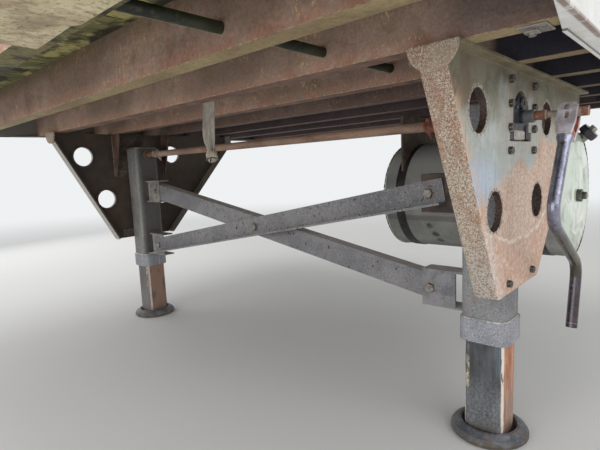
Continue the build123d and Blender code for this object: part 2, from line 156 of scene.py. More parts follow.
class Shader(Nodes):
    """A material whose patterns lie in the object's own metres."""

    def __init__(self, name):
        self.material = bpy.data.materials.new(name)
        super().__init__(self.material)
        coord = self.node("TexCoord", {})
        self.place = coord.outputs["Object"]
        self.x, self.y, self.z = self.node("SeparateXYZ", {0: self.place}).outputs
        self.nx, self.ny, self.nz = self.node("SeparateXYZ", {0: coord.outputs["Normal"]}).outputs
        self.rounded = None

    def span(self, value, low, high):
        """A 0..1 value spread between low and high."""
        return self.node("MapRange", {"Value": value, "To Min": low, "To Max": high}).outputs["Result"]

    def band(self, value, low, high, soft):
        """1 between low and high, 0 outside."""
        return self.times((value, low - soft, low + soft), (value, high + soft, high - soft))

    def spot(self, x, y, z, inner, outer):
        """1 inside the inner radius of a point, 0 outside the outer one."""
        far = self.node("VectorMath", {0: self.place, 1: (x, y, z)}, operation="DISTANCE")
        return self.ramp(far.outputs["Value"], outer, inner)

    def noise(self, scale, detail=3.0, rough=0.55, stretch=(1, 1, 1), seed=0, warp=0.0):
        shift = (seed * 1.7, seed * 3.1, seed * 0.9)
        place = self.node("VectorMath", {0: self.place, 1: stretch, 2: shift}, operation="MULTIPLY_ADD")
        sizes = {"Scale": scale, "Detail": detail, "Roughness": rough, "Distortion": warp}
        return self.node("TexNoise", {"Vector": place.outputs[0], **sizes}).outputs["Fac"]

    def cloud(self, scale, low, high, *shape, **more):
        """Patches: a noise that is 0 below low and 1 above high."""
        return self.ramp(self.noise(scale, *shape, **more), low, high)

    def mix(self, share, a, b):
        return self.node("Mix", {"Factor": share, 6: a, 7: b}, data_type="RGBA").outputs[2]

    def blend(self, value, a, b, low=0.38, high=0.62):
        """Colour a where a noise is below low and b where it is above high."""
        return self.mix(self.ramp(value, low, high), a, b)

    def layers(self, colour, *rows):
        """Coats over a colour. A row is what the coat's share is the product of, and then its colour."""
        for *shares, paint in rows:
            colour = self.mix(self.times(*shares), colour, paint)
        return colour

    def shade(self, colour, factor):
        """The colour made darker or lighter by a factor."""
        return self.node("VectorMath", {0: colour, "Scale": factor}, operation="SCALE").outputs[0]

    def grain(self, colour, amount=0.16, scale=320, stretch=(1, 1, 1), seed=7):
        speck = self.noise(scale, 2, 0.6, stretch, seed)
        return self.shade(colour, self.span(speck, 1 - amount, 1 + amount))

    def edges(self, radius):
        """1 on the sharp edges of the solid, 0 on its flats; it also rounds them for the light."""
        self.rounded = self.node("Bevel", {"Radius": radius}, samples=4).outputs[0]
        flat = self.node("NewGeometry", {}).outputs["Normal"]
        dot = self.node("VectorMath", {0: self.rounded, 1: flat}, operation="DOT_PRODUCT")
        return self.ramp(dot.outputs["Value"], 0.995, 0.86)

    def done(self, colour, rough, height, relief=0.001, strength=0.7, metal=0.0, coat=0.0, specular=0.5):
        """The finished material. height is a pattern, and relief says how deep it is in metres."""
        bump = self.node("Bump", {"Distance": relief, "Strength": strength, "Height": height})
        if self.rounded is not None:
            self.put(self.rounded, bump.inputs["Normal"])
        surface = self.node("BsdfPrincipled", {
            "Base Color": colour, "Roughness": rough, "Metallic": metal, "Coat Weight": coat,
            "Specular IOR Level": specular, "Normal": bump.outputs[0]})
        self.node("OutputMaterial", {"Surface": surface.outputs[0]})
        return self.material


# Floor frame


def rusty_beam():
    s = Shader("rusty_beam")
    mid = s.noise(17, 4, 0.6, seed=2)
    bloom = s.times(s.cloud(60, 0.58, 0.72, seed=5), s.cloud(5, 0.48, 0.62, 2, seed=9))
    # clusters of thin pale scratches
    fleck = s.times(s.cloud(150, 0.56, 0.62, 3, 0.66, (1, 1, 0.42), seed=12, warp=0.9),
                    s.cloud(6.5, 0.52, 0.62, 2, 0.5, (1, 1, 1.6), seed=11), (s.z, -0.158, -0.14))
    outer = s.ramp(s.y, 0.95, 1.05)
    web = s.layers(
        s.blend(s.noise(3.2), (152, 127, 112), (182, 154, 138)),
        ((mid, 0.5, 0.72), 0.5, (126, 102, 94)),
        ((s.y, 0.1, -0.8), (s.x, 0.9, 0.98), 0.45, (104, 94, 66)),
        # brown-green film under the boards, redder towards the bottom
        ((s.z, -0.09, -0.04), 0.55, (112, 98, 70)),
        ((s.z, -0.12, -0.156), (mid, 0.35, 0.6), 0.5, (176, 120, 92)),
        (bloom, 0.7, (190, 124, 78)),
        (fleck, s.flip(outer), 0.85, (226, 198, 146)),
        # painted shade: darker webs in the bay outside the wing plates, towards the rear
        (outer, (s.x, 0.66, 0.5), 0.6, (98, 90, 90)))
    # bottom flange: brown like the web behind the crossing plates, khaki film ahead and outside
    low = s.ramp(s.z, -0.1545, -0.1556)
    under = s.times(low, (s.nz, -0.4, -0.8))
    film = s.layers(
        s.blend(s.noise(9, 4, 0.6, (1, 0.4, 1), seed=3), (140, 120, 88), (164, 146, 108), 0.4),
        (s.cloud(34, 0.56, 0.7, seed=4), 0.55, (132, 102, 82)))
    plain = s.blend(mid, (112, 84, 74), (140, 108, 94))
    khaki = s.most(s.ramp(s.x, 0.55, 0.6), s.ramp(s.y, 0.98, 1.02))
    # pale lines where the web turns into the flange and along the flange's rear edge
    rim = s.times((s.z, -0.1592, -0.1604), (s.nx, 0.5, 0.8))
    back = s.times(low, (s.nx, -0.5, -0.8))
    flake = s.blend(s.noise(75, seed=8), (150, 118, 92), (204, 180, 144), 0.34, 0.7)
    # painted shade: dark and purple in the bays outside the wing plates and at the rear
    rear = s.ramp(s.x, 0.1, -0.35)
    bay = s.times((s.y, 0.97, 0.995), (s.x, 0.36, 0.26))
    mossy = s.blend(s.noise(11, 4, 0.7, seed=17), (34, 32, 22), (118, 112, 70), 0.44, 0.58)
    colour = s.layers(
        s.mix(under, web, s.mix(khaki, plain, film)),
        (s.most(rim, back), 0.9, flake),
        (s.most(bay, s.times(rear, 0.85)), s.flip(under), 0.96, (38, 38, 52)),
        (under, rear, 0.7, (70, 60, 62)),
        (under, (s.x, 0.94, 0.95), 0.95, mossy))
    colour = s.grain(s.grain(colour, 0.44, 170, seed=6), 0.26, 80, seed=16)
    height = s.plus(s.noise(160, 4, 0.65, seed=1), (fleck, 0.5))
    return s.done(colour, s.span(mid, 0.62, 0.95), height, 0.0014, 0.8)


def screw_reach(s):
    """Distance to the nearest screw: two go through each board at each crossmember."""
    screw_x, screw_share = 0.1005, 0.27
    board_pitch = (2 * BOARD_EDGE + BOARD_GAP) / BOARD_COUNT
    # whole pitches are added so that the sums stay above zero
    along = s.math("PINGPONG", s.plus(s.x, 101 * BEAM_PITCH - screw_x), BEAM_PITCH / 2)
    across = s.math("PINGPONG", s.plus(s.y, BOARD_EDGE - BOARD_GAP / 2 + board_pitch * 40), board_pitch / 2)
    return s.length(along, s.less(across, board_pitch * screw_share))


def deck_board():
    s = Shader("deck_board")
    long_grain = s.noise(34, 4, 0.6, (0.06, 1, 1), seed=2)
    patch = s.noise(2.6, seed=3)
    under = s.layers(
        s.blend(patch, (98, 98, 60), (136, 132, 84)),
        ((long_grain, 0.47, 0.6), 0.5, (66, 60, 40)),
        (s.cloud(12, 0.5, 0.58, 4, 0.7, (0.7, 1, 1), seed=14), 0.8, (196, 186, 122)),
        (s.cloud(9, 0.52, 0.66, 4, 0.65, seed=4), (s.y, 0.2, -0.6), 0.6, (92, 104, 60)),
        (s.cloud(8, 0.47, 0.56, 4, 0.6, (1, 0.6, 1), seed=8), 0.9, (28, 27, 19)),
        # shaded bay outside the wing plates
        ((s.size(s.y), 0.98, 1.03), 0.96, (34, 34, 48)))
    scuff = s.times(s.cloud(60, 0.62, 0.7, 2, 0.5, (0.05, 1, 1), seed=6), s.cloud(3, 0.5, 0.6, 2, seed=9))
    reach = screw_reach(s)
    head = s.ramp(reach, 0.0075, 0.0062)
    top = s.layers(
        s.blend(s.noise(3.1, 4, 0.6, (0.4, 1, 1), seed=5), (132, 120, 102), (166, 152, 130), 0.36, 0.64),
        ((long_grain, 0.4, 0.62), 0.6, (104, 90, 74)),
        (scuff, 0.6, (196, 182, 156)),
        ((reach, 0.011, 0.0075), s.flip(head), 0.7, (58, 44, 36)),
        (head, (122, 104, 92)))
    above = s.ramp(s.nz, 0.3, 0.8)
    side = s.times((s.size(s.ny), 0.5, 0.8), 0.6)
    colour = s.mix(side, s.mix(above, under, top), (50, 42, 32))
    colour = s.grain(colour, 0.16, 260, (0.25, 1, 1), seed=12)
    ends = s.blend(s.noise(70, 3, 0.6, (1, 0.4, 1), seed=13), (84, 72, 54), (124, 108, 84), 0.36, 0.64)
    colour = s.mix(s.ramp(s.size(s.nx), 0.5, 0.8), colour, ends)
    fibres = s.times(s.noise(220, 3, 0.6, (0.2, 1, 1), seed=7), 0.5)
    height = s.plus(long_grain, fibres, (above, head, -1.5))
    return s.done(colour, s.span(patch, 0.75, 0.95), height, 0.0016, 0.7)


def rail_white():
    s = Shader("rail_white")
    edge = s.edges(0.002)
    # painted light: the faces that look down are made whiter
    below = s.ramp(s.nz, -0.5, -0.9)
    corner = s.times((s.size(s.y), 1.2085, 1.2125), (s.z, -0.160, -0.166))
    drip = s.times(s.cloud(46, 0.64, 0.7, 2, 0.5, (1, 1, 0.02), seed=6), (s.z, -0.1, -0.165))
    chip = s.times(s.cloud(42, 0.66, 0.7, 3, 0.6, seed=8), s.cloud(2.2, 0.48, 0.6, 2, seed=9))
    inside = s.times((s.size(s.y), 1.2138, 1.2132), s.flip(below))
    paint = s.blend(s.noise(3), (238, 238, 237), (250, 250, 249), 0.35, 0.65)
    colour = s.layers(
        s.mix(below, paint, (252, 252, 251)),
        (s.cloud(26, 0.54, 0.72, 3, 0.6, (1, 1, 0.07), seed=3), 0.22, (196, 194, 186)),
        ((s.z, -0.06, -0.17), s.cloud(12, 0.36, 0.66, 4, 0.6, seed=4), 0.3, (190, 184, 170)),
        # brown stain along the outer bottom corner, and drips
        (corner, s.cloud(24, 0.3, 0.5, 3, 0.6, (1, 0.2, 0.2), seed=5), 0.8, (122, 84, 62)),
        (drip, s.cloud(3, 0.5, 0.62, 1, seed=7), 0.75, (112, 74, 56)),
        (chip, (128, 88, 64)),
        (edge, 0.6, (150, 148, 138)),
        (inside, 0.85, (84, 80, 68)))
    height = s.plus(s.noise(90, seed=11), (chip, -1.2))
    return s.done(s.grain(colour, 0.05, 240), s.span(s.noise(7, 2, seed=2), 0.32, 0.6), height, 0.0006, 0.5)


def conduit_dark():
    s = Shader("conduit_dark")
    below = s.ramp(s.plus((s.nz, -0.94), (s.ny, -0.34)), 0.955, 0.99)
    colour = s.layers(
        s.blend(s.noise(14), (30, 36, 26), (52, 58, 40), 0.4),
        (s.cloud(60, 0.56, 0.7, seed=2), 0.5, (96, 92, 66)),
        # painted highlight: pale along the lower side
        (below, s.cloud(30, 0.34, 0.55, 3, 0.6, seed=3), 0.85, (186, 180, 146)))
    rough = s.span(s.noise(20, 2, seed=5), 0.42, 0.7)
    return s.done(s.grain(colour, 0.14, 300), rough, s.noise(140, seed=4), 0.0008, 0.6)


def coupler_beige():
    s = Shader("coupler_beige")
    edge = s.edges(0.002)
    colour = s.layers(
        s.blend(s.noise(6, 4, 0.6), (196, 180, 146), (226, 214, 176), 0.36, 0.64),
        (s.cloud(11, 0.5, 0.6, 4, 0.65, seed=2), 0.7, (162, 140, 114)),
        (s.cloud(5, 0.54, 0.68, 4, 0.65, seed=3), (s.y, 0.9, 0.5), 0.75, (126, 92, 74)),
        (s.cloud(75, 0.5, 0.6, 4, 0.7, (0.6, 1, 1), seed=10), 0.55, (150, 128, 100)),
        (s.cloud(160, 0.6, 0.68, 2, seed=4), 0.7, (96, 76, 58)),
        (s.cloud(40, 0.66, 0.72, 2, 0.5, (0.08, 1, 1), seed=6), 0.4, (208, 198, 166)),
        (edge, 0.85, (222, 212, 172)))
    height = s.plus(s.noise(110, 4, 0.65, seed=7), (s.noise(9, seed=8), 1.5))
    return s.done(s.grain(colour, 0.16, 280), s.span(s.noise(18, 2, seed=9), 0.55, 0.85), height, 0.0014)


# Gear supports


def speckled_rust(s, seed, scale=190):
    """Pitted flange steel: tan and brown rust in fine grains with some white zinc."""
    grains = s.noise(scale, 3, 0.7, seed=seed)
    fine = s.noise(scale * 2.3, 2, 0.6, seed=seed + 1)
    patch = s.cloud(9, 0.5, 0.64, 3, 0.6, (1, 1, 0.5), seed=seed + 2)
    return s.layers(
        s.blend(grains, (138, 112, 92), (190, 176, 158), high=0.6),
        ((fine, 0.53, 0.6), 0.75, (228, 222, 210)),
        ((fine, 0.46, 0.38), 0.7, (104, 76, 60)),
        (s.cloud(15, 0.5, 0.62, 4, 0.65, (1, 1, 0.3), seed=seed + 3), 0.5, (150, 104, 78)),
        # whiter and greyer towards the foot
        ((s.z, -0.5, -0.66), (grains, 0.4, 0.6), 0.6, (186, 186, 182)),
        (patch, (grains, 0.62, 0.42), 0.6, (158, 102, 74)))


def wing_upper(s, mid, streak, lean, wobble):
    """The wing plate's upper part: pale zinc, blue near the front bend, under an olive and brown film."""
    zinc = s.layers(
        s.blend(mid, (170, 176, 172), (190, 196, 194), 0.4),
        ((lean, -0.2, -0.07), (s.z, -0.34, -0.42), 0.85, (182, 194, 212)),
        ((streak, 0.5, 0.66), 0.5, (158, 166, 150)),
        ((s.x, 0.24, 0.06), (s.z, -0.42, -0.3), (mid, 0.34, 0.6), 0.765, (182, 168, 148)))
    olive = s.layers(
        s.blend(mid, (108, 102, 84), (134, 130, 110)),
        (s.cloud(8, 0.48, 0.64, 4, 0.65, (1, 1, 0.5), seed=6), 0.7, (116, 96, 76)))
    up = s.ramp(s.plus(s.z, (wobble, 1.5)), -0.315, -0.24)
    brown = s.times((streak, 0.55, 0.7), s.cloud(7, 0.46, 0.6, 2, seed=7))
    return s.layers(s.mix(up, zinc, olive), (brown, 0.62, (148, 112, 82)))


def wing_lower(s, mid, fine):
    """The wing plate's rusty lower part, in tan, orange and cream."""
    return s.layers(
        s.blend(fine, (194, 166, 146), (222, 198, 182)),
        ((mid, 0.54, 0.7), 0.5, (202, 160, 134)),
        (s.cloud(10, 0.5, 0.64, 4, 0.65, (1, 1, 0.5), seed=15), 0.5, (180, 134, 108)),
        (s.cloud(90, 0.54, 0.64, 3, 0.7, seed=17), 0.45, (158, 118, 96)),
        (s.cloud(60, 0.56, 0.66, 4, 0.7, (1, 1, 0.5), seed=18), 0.5, (236, 218, 202)))


def near_holes(s, depth, inner, outer):
    """1 round the lightening holes, at a depth behind the plate's face."""
    return s.most(*[s.spot(x, PLATE_OUT - depth, z, inner, outer) for x, z in HOLES])


def wing_galvanised():
    s = Shader("wing_galvanised")
    edge = s.edges(0.003)
    big = s.noise(4.2, 4, 0.6, seed=1)
    mid = s.noise(21, 4, 0.62, seed=2)
    fine = s.noise(150, 3, 0.65, seed=3)
    streak = s.noise(105, 3, 0.6, (1, 1, 0.045), seed=4)
    wobble = s.plus((s.less(big, 0.5), 0.16), (s.less(mid, 0.5), 0.09))
    # how far ahead of the front bend's slanting line
    lean = s.less(s.x, s.plus((s.z, 0.5314), 0.5387))
    # rust below a tent whose ridge is under the gearbox, and on all the rear
    tent = s.times(s.size(s.less(s.x, 0.01)), 0.39)
    rise = s.less(s.less(s.times(s.z, -1.0), tent), 0.378)
    rear = s.times((s.x, -0.09, -0.16), s.plus(tent, 0.045))
    rusted = s.ramp(s.plus(rise, rear, (wobble, 0.6)), -0.018, 0.028)
    # mottled white and red at the foot, under a curved pale line
    foot_line = s.plus(s.z, (s.x, s.x, -0.9), (wobble, 0.5))
    foot = s.ramp(foot_line, -0.585, -0.625)
    mottle = s.blend(s.noise(64, 4, 0.7, seed=8), (200, 158, 136), (222, 202, 186), 0.4, 0.66)
    arc = s.times(s.band(foot_line, -0.602, -0.592, 0.005), (mid, 0.36, 0.5))
    # orange run along the bend of the front flange, and the dusty foot of it
    run = s.times((lean, -0.05, -0.012), (s.z, -0.2, -0.28), (s.z, -0.56, -0.44))
    run = s.times(run, s.cloud(44, 0.4, 0.56, 4, 0.7, (1, 1, 0.35), seed=19))
    dust = s.times((lean, -0.05, -0.02), (s.z, -0.5, -0.58), (fine, 0.4, 0.56))
    rings = s.times(near_holes(s, 0, 0.052, 0.058), 0.9, s.cloud(170, 0.36, 0.5, 3, 0.7, seed=13))
    pits = s.ramp(s.noise(210, 2, seed=9), 0.63, 0.7)
    # the bent flanges, the insides of the holes, the plate's inner face and the shelf
    flange = s.times((s.size(s.ny), 0.82, 0.6), s.flip(s.ramp(s.size(s.nz), 0.85, 0.95)))
    barrel = s.times(near_holes(s, 0.006, 0.053, 0.056), (s.size(s.ny), 0.9, 0.6))
    inner_face = s.ramp(s.times(s.ny, s.math("SIGN", s.y)), -0.2, -0.7)
    dark = s.layers(
        s.blend(mid, (54, 47, 42), (88, 70, 58), 0.4, 0.64),
        ((big, 0.52, 0.66), 0.5, (112, 76, 58)))
    far = s.ramp(s.y, 0.0, -0.1)
    face = s.layers(
        wing_upper(s, mid, streak, lean, wobble),
        (rusted, 0.94, wing_lower(s, mid, fine)),
        (foot, 0.75, mottle),
        (arc, 0.7, (236, 228, 216)),
        ((streak, 0.6, 0.7), rusted, 0.4, (172, 120, 94)),
        (run, 0.5, (214, 170, 132)),
        (dust, 0.7, (218, 214, 210)),
        (rings, s.blend(fine, (104, 84, 70), (196, 188, 176), 0.44, 0.56)),
        (pits, 0.45, (128, 98, 80)),
        (flange, speckled_rust(s, 21)),
        (barrel, s.blend(fine, (58, 44, 40), (86, 66, 56), 0.4, 0.6)),
        (inner_face, dark),
        ((s.size(s.y), 1.0125, 1.0145), s.blend(mid, (120, 112, 84), (148, 136, 108), 0.4)),
        (edge, (fine, 0.4, 0.6), 0.55, (206, 192, 174)),
        # painted shade: the far plate darker, all but its edges
        (far, s.flip(edge), 0.6, (86, 76, 68)),
        (far, flange, (s.nx, 0.4, 0.7), 0.8, (176, 172, 166)))
    rough = s.plus((rusted, 0.22), s.span(mid, 0.42, 0.66))
    height = s.plus((fine, s.span(s.most(rusted, flange, foot), 0.35, 1.3)),
                    (pits, -0.8), (streak, 0.25))
    return s.done(s.grain(face, 0.1, 420, seed=12), rough, height, 0.0014, 0.75, metal=0.08)


def cap_plate():
    s = Shader("cap_plate")
    s.edges(0.0025)
    colour = s.layers(speckled_rust(s, 31, 150), (s.cloud(12, 0.4, 0.62, seed=5), 0.5, (188, 174, 152)))
    return s.done(colour, 0.85, s.noise(120, 4, 0.7, seed=3), 0.0022, 0.9)


def gusset_red():
    s = Shader("gusset_red")
    edge = s.edges(0.002)
    colour = s.blend(s.noise(14, 4), (92, 68, 60), (120, 92, 80), 0.4)
    colour = s.layers(colour, (edge, 0.5, (160, 136, 114)))
    return s.done(s.grain(colour, 0.2, 240), 0.82, s.noise(140, 4, seed=3), 0.0014)


# Legs


def leg_paint(name, dark, light, glow, shine, painted_side_shade=0.0):
    """Worn grey enamel: grained and pitted, with pale rubbed edges and some brown at the foot. The last
    argument darkens the faces that look towards +y: a painted shade.
    """
    s = Shader(name)
    edge = s.edges(0.004)
    big = s.noise(5.5, 4, 0.6, (1, 1, 0.6), seed=1)
    fine = s.noise(230, 3, 0.7, seed=2)
    colour = s.layers(
        s.blend(big, dark, light, 0.36, 0.64),
        ((fine, 0.55, 0.66), 0.6, glow),
        ((fine, 0.44, 0.34), 0.7, tuple(v * 0.55 for v in dark)),
        (s.cloud(26, 0.56, 0.68, 4, 0.65, seed=4), (s.z, -0.55, -0.85), 0.55, (128, 98, 78)),
        (s.cloud(80, 0.62, 0.72, 2, 0.5, (1, 1, 0.05), seed=6), 0.35, glow),
        (edge, (fine, 0.38, 0.55), 0.6, glow),
        # painted shade on the faces that look towards +y
        ((s.ny, 0.3, 0.8), painted_side_shade, (50, 47, 44)))
    height = s.plus(fine, (s.noise(45, seed=7), 0.8))
    return s.done(colour, s.span(big, shine, shine + 0.25), height, metal=0.1)


def tube_side(s, rub, scratch, mist):
    """The tube's outer side: a rusty middle strip, grey behind it and a thin white line at its rear."""
    rust = s.layers(
        s.blend(s.noise(36, 4, 0.6, (1, 1, 0.3), seed=7), (168, 106, 76), (200, 142, 108), 0.4),
        ((scratch, 0.56, 0.66), 0.7, (226, 206, 190)),
        ((s.z, -1.0, -1.1), (rub, 0.4, 0.6), 0.7, (132, 108, 94)))
    plain = s.blend(rub, (92, 88, 86), (128, 122, 118), high=0.6)
    strip = s.ramp(s.plus(s.x, (rub, 0.02)), -0.03, -0.024)
    return s.layers(
        s.mix(strip, plain, rust),
        (mist, 0.6, (164, 158, 150)),
        ((s.x, -0.038, -0.042), (rub, 0.34, 0.46), 0.85, (224, 220, 210)))


def inner_tube():
    """Sliding tube: greased charcoal front, flaked corners, misty towards the shoe."""
    s = Shader("inner_tube")
    outwards = s.less(s.size(s.y), LEG_Y)
    scratch = s.noise(190, 3, 0.6, (1, 1, 0.03), seed=1)
    rub = s.noise(30, 4, 0.65, (1, 1, 0.25), seed=2)
    mist = s.times((s.z, -0.94, -1.08), s.cloud(130, 0.3, 0.66, 4, 0.75, seed=3))
    blue = s.times((s.plus(outwards, (rub, 0.01)), 0.036, 0.046), (s.z, -1.0, -0.93))
    inner = s.times(s.band(s.plus(outwards, (rub, 0.014)), -0.041, -0.030, 0.002),
                    (s.z, -1.05, -0.98), (s.nx, 0.3, 0.8))
    inner = s.times(inner, s.cloud(16, 0.38, 0.56, 3, 0.6, (1, 1, 0.3), seed=6))
    front = s.layers(
        s.blend(rub, (58, 60, 64), (88, 90, 95), 0.4, 0.66),
        ((scratch, 0.58, 0.68), 0.6, (136, 138, 142)),
        (mist, 0.7, (142, 144, 147)),
        (blue, 0.35, (100, 124, 134)),
        (inner, s.blend(s.noise(70, seed=5), (122, 116, 104), (214, 204, 180), 0.42, 0.58)))
    near = s.ramp(s.y, -0.2, 0.2)
    side = s.ramp(s.nx, 0.5, 0.34)
    dull = s.blend(s.noise(22, 4, 0.65, (1, 1, 0.4), seed=15), (92, 82, 80), (164, 122, 98), 0.42, 0.56)
    chips = s.noise(75, 4, 0.7, (1, 1, 0.25), seed=14)
    turn = s.plus(s.nx, (s.less(chips, 0.5), 0.5))
    corner = s.times((turn, 0.16, 0.3), (turn, 0.76, 0.62), (chips, 0.3, 0.44))
    face = s.layers(
        s.mix(side, front, s.mix(near, dull, tube_side(s, rub, scratch, mist))),
        (corner, 0.92, (238, 224, 212)),
        (s.flip(near), 0.4, (122, 112, 106)),
        ((s.z, -1.1, -1.13), s.cloud(40, 0.35, 0.6, seed=9), 0.6, (112, 104, 94)))
    relief = s.times(s.noise(120, 4, 0.65, seed=10), s.span(side, 0.4, 1.2))
    height = s.plus((scratch, 0.7), relief)
    return s.done(s.grain(face, 0.12, 300), s.span(rub, 0.36, 0.72), height, 0.0008, metal=0.15)


def shoe_dark():
    s = Shader("shoe_dark")
    edge = s.edges(0.004)
    mid = s.noise(24, 4, 0.65)
    colour = s.layers(
        s.blend(mid, (72, 76, 84), (116, 120, 128), high=0.64),
        (s.cloud(13, 0.5, 0.64, seed=2), 0.5, (104, 92, 76)),
        (edge, 0.7, (164, 166, 168)),
        # soil at the rim and inside
        ((s.z, -1.13, -1.155), s.cloud(48, 0.32, 0.6, 4, seed=4), 0.8, (88, 74, 54)),
        ((s.nz, 0.5, 0.9), (s.z, -1.135, -1.148), 0.8, (60, 50, 40)))
    height = s.noise(120, 4, seed=3)
    return s.done(s.grain(colour, 0.2, 240), s.span(mid, 0.45, 0.8), height, 0.0014, 0.8, metal=0.15)


# Braces


def brace_grey(name, top):
    """Pitted grey paint; top is the colour of what faces up, a painted light on the rear brace and a painted
    shade on the front one.
    """
    s = Shader(name)
    edge = s.edges(0.0025)
    big = s.noise(4.5, seed=1)
    cloud = s.noise(24, 4, 0.68, seed=8)
    fine = s.noise(200, 3, 0.7, seed=2)
    colour = s.layers(
        s.blend(big, (112, 112, 116), (134, 133, 136), 0.36, 0.64),
        ((cloud, 0.5, 0.68), 0.4, (146, 142, 140)),
        ((cloud, 0.46, 0.34), 0.4, (94, 90, 90)),
        ((fine, 0.57, 0.66), 0.5, (188, 184, 180)),
        ((fine, 0.43, 0.34), 0.85, (58, 50, 48)),
        (s.cloud(15, 0.56, 0.72, 4, 0.65, seed=4), 0.3, (128, 108, 94)),
        (s.cloud(70, 0.67, 0.7, 2, 0.5, seed=5), 0.9, (46, 40, 38)),
        # painted light and shade: the upper faces in the top colour
        ((s.nz, 0.6, 0.9), 0.9, top),
        (edge, (fine, 0.36, 0.5), 0.85, (214, 206, 196)))
    height = s.plus(fine, (s.noise(50, seed=7), 0.7))
    return s.done(colour, s.span(big, 0.5, 0.75), height, 0.0012, 0.75, metal=0.1)


def bracket_worn():
    """The near leg's brackets: dark brown at the upper brace, grey at the lower one, with painted light on
    the lower one's upper faces.
    """
    s = Shader("bracket_worn")
    edge = s.edges(0.002)
    fine = s.noise(230, 3, 0.7, seed=2)
    cloud = s.noise(22, 4, 0.65, seed=4)
    grey = s.layers(
        s.blend(cloud, (104, 104, 108), (136, 135, 138)),
        ((fine, 0.55, 0.66), 0.6, (178, 176, 176)),
        # painted light: the upper faces made pale
        ((s.nz, 0.6, 0.9), 0.9, (222, 218, 218)))
    upper = s.ramp(s.z, -0.64, -0.6)
    colour = s.mix(upper, grey, s.blend(cloud, (58, 48, 44), (86, 72, 64)))
    colour = s.layers(colour, (edge, s.span(upper, 0.6, 0.2), (178, 172, 166)))
    return s.done(s.grain(colour, 0.2, 280), 0.7, s.plus(fine, cloud), metal=0.1)


# Drive


def gear_dark():
    s = Shader("gear_dark")
    edge = s.edges(0.002)
    mid = s.noise(32, 4, 0.6)
    colour = s.layers(
        s.blend(mid, (34, 37, 44), (66, 70, 80)),
        (s.cloud(70, 0.56, 0.66, seed=2), 0.6, (104, 88, 78)),
        # the collar round the shaft is rubbed bright
        ((s.y, 1.0, 1.008), s.spot(0, 1.03, SHAFT_Z, 0.019, 0.023), 0.75, (124, 126, 130)),
        (edge, 0.7, (132, 134, 140)))
    return s.done(s.grain(colour, 0.16, 260), s.span(mid, 0.32, 0.6), s.noise(130, 4, seed=3), metal=0.3)


def shaft_rust(name, rubbed_out):
    """Rusty round bar. rubbed_out: the crank's shaft, grey-tan past the collar next to the gearbox."""
    s = Shader(name)
    edge = s.edges(0.0015)
    mid = s.noise(36, 4, 0.65)
    colour = s.layers(
        s.blend(mid, (108, 68, 56), (142, 96, 78)),
        (s.cloud(150, 0.55, 0.66, 3, 0.7, seed=2), 0.6, (184, 146, 122)))
    if rubbed_out:
        bare = s.blend(mid, (150, 138, 124), (184, 172, 158))
        rubbed = s.times((s.y, 1.064, 1.070), (s.y, 1.146, 1.138))
        colour = s.layers(colour, (rubbed, (mid, 0.2, 0.42), bare))
    ring = s.times(s.cloud(420, 0.56, 0.64, 2, 0.5, (0.02, 1, 0.02), seed=4), 0.5)
    colour = s.layers(colour, (ring, (92, 66, 54)), (edge, 0.85, (236, 220, 202)))
    height = s.plus(s.noise(170, 4, 0.7, seed=5), (ring, -0.8))
    return s.done(s.grain(colour, 0.16, 330), s.span(mid, 0.5, 0.85), height, 0.001, 0.75, metal=0.1)


def coupling_rust():
    """Red-brown couplings and their bolts, paler at the far leg."""
    s = Shader("coupling_rust")
    edge = s.edges(0.0015)
    mid = s.noise(60, 4, 0.62)
    colour = s.layers(
        s.blend(mid, (98, 54, 44), (134, 84, 66)),
        ((s.y, 0.2, -0.2), s.blend(mid, (122, 106, 94), (162, 146, 132))),
        (edge, 0.8, (184, 150, 128)))
    return s.done(s.grain(colour), 0.8, s.noise(150, 4, 0.65, seed=3))


def cross_tube():
    s = Shader("cross_tube")
    s.edges(0.0015)
    mid = s.noise(16, 4, 0.6, (1, 0.35, 1))
    red = s.blend(s.noise(60, 4, 0.65, seed=4), (110, 68, 56), (150, 100, 82), 0.4, 0.6)
    colour = s.layers(
        s.blend(mid, (124, 96, 82), (160, 132, 114)),
        (s.cloud(64, 0.54, 0.64, 4, 0.7, seed=2), 0.6, (176, 120, 88)),
        (s.cloud(90, 0.6, 0.68, 3, 0.7, seed=3), 0.6, (96, 70, 62)),
        # redder at the near end, paler at the far one
        ((s.size(s.y), 0.735, 0.75), s.span(s.ramp(s.y, 0.2, -0.2), 0.75, 0.0), red),
        ((s.y, -0.4, -0.7), 0.6, (170, 152, 136)))
    height = s.noise(150, 4, 0.7, seed=5)
    return s.done(s.grain(colour), s.span(mid, 0.55, 0.85), height, 0.001, 0.75)


